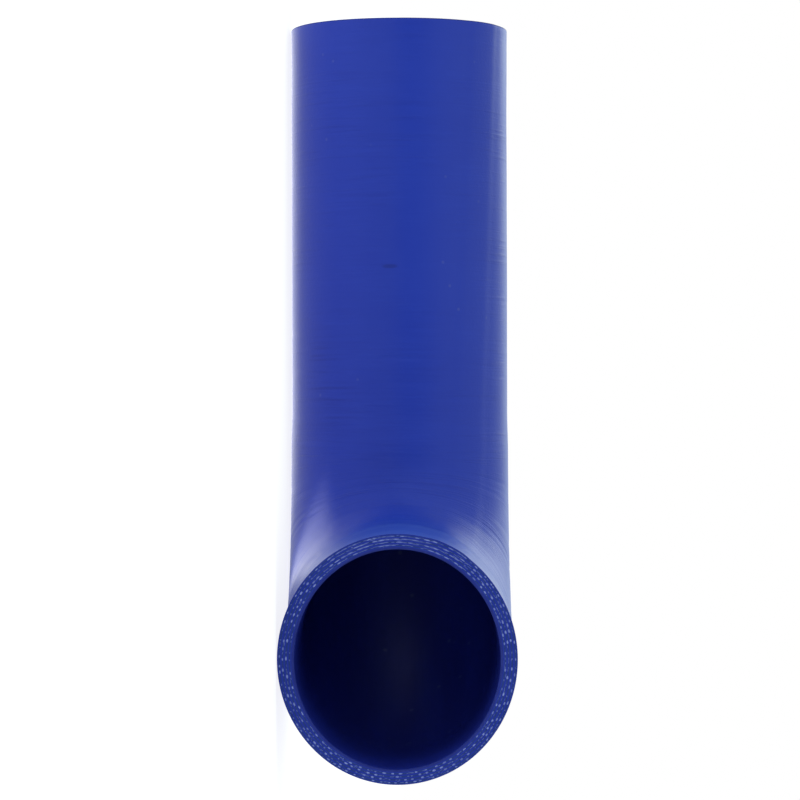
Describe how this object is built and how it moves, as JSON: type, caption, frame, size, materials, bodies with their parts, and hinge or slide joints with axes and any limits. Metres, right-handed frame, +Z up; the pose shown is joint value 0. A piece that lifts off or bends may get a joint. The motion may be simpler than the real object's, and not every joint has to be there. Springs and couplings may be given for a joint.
{
  "type": "radiator hose",
  "caption": "Right-angle coolant hose of blue silicone rubber over cloth plies, with one long leg, one short leg, square cut ends and an open bore.",
  "frame": {"origin": "on the ground under the middle of the hose's outline, with the hose lying on its side", "axes": "the long leg runs to -X, the short leg runs to -Y, and +Z is up, square to the plane of the elbow"},
  "size_m": [0.2254, 0.1302, 0.0687],
  "materials": {
    "blue_silicone": "satin blue silicone rubber with faint tape and cloth marks",
    "ply_yarn": "cut ends of pale polyester yarn in the cut faces"
  },
  "bodies": {
    "root": {"radiator_hose": "blue_silicone"}
  },
  "joints": []
}
